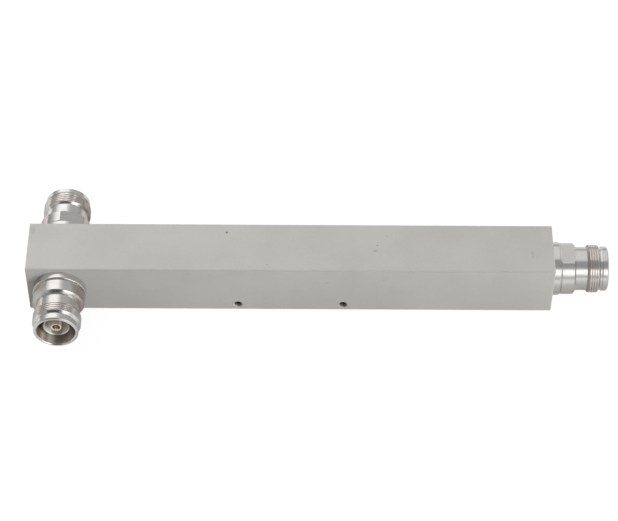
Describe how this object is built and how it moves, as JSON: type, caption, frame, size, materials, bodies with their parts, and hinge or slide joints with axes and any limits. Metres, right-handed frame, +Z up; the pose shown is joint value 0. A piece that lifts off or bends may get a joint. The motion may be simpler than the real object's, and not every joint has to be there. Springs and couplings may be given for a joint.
{
  "type": "rf power splitter",
  "caption": "Coaxial power splitter: a square painted bar with an input jack on its end and output jacks on opposite sides, joined by a stepped inner conductor.",
  "frame": {"origin": "middle of the bar's underside", "axes": "+X along the bar and out of the input jack, -Y out of the front output jack and the mounting holes, +Z up"},
  "size_m": [0.2421, 0.0716, 0.0254],
  "materials": {
    "body_paint": "pale grey powder paint on an aluminium bar",
    "jack_plating": "brass with bright nickel-coloured plating",
    "contact_plating": "bronze with bright nickel-coloured plating",
    "centre_plating": "spring bronze with warm silver plating",
    "plug_metal": "turned aluminium, clear passivated",
    "rod_silver": "turned aluminium, silver plated",
    "insulator_plastic": "white fluoropolymer",
    "seal_rubber": "black silicone rubber"
  },
  "bodies": {
    "root": {"housing": "body_paint", "end_plug": "plug_metal", "end_plug_seal": "seal_rubber", "inner_conductor": "rod_silver", "junction_support": "insulator_plastic", "input_support": "insulator_plastic", "input_shell": "jack_plating", "input_outer_contact": "contact_plating", "input_insulator": "insulator_plastic", "input_centre_contact": "centre_plating", "input_seal": "seal_rubber", "front_shell": "jack_plating", "front_outer_contact": "contact_plating", "front_insulator": "insulator_plastic", "front_centre_contact": "centre_plating", "front_seal": "seal_rubber", "back_shell": "jack_plating", "back_outer_contact": "contact_plating", "back_insulator": "insulator_plastic", "back_centre_contact": "centre_plating", "back_seal": "seal_rubber"}
  },
  "joints": []
}
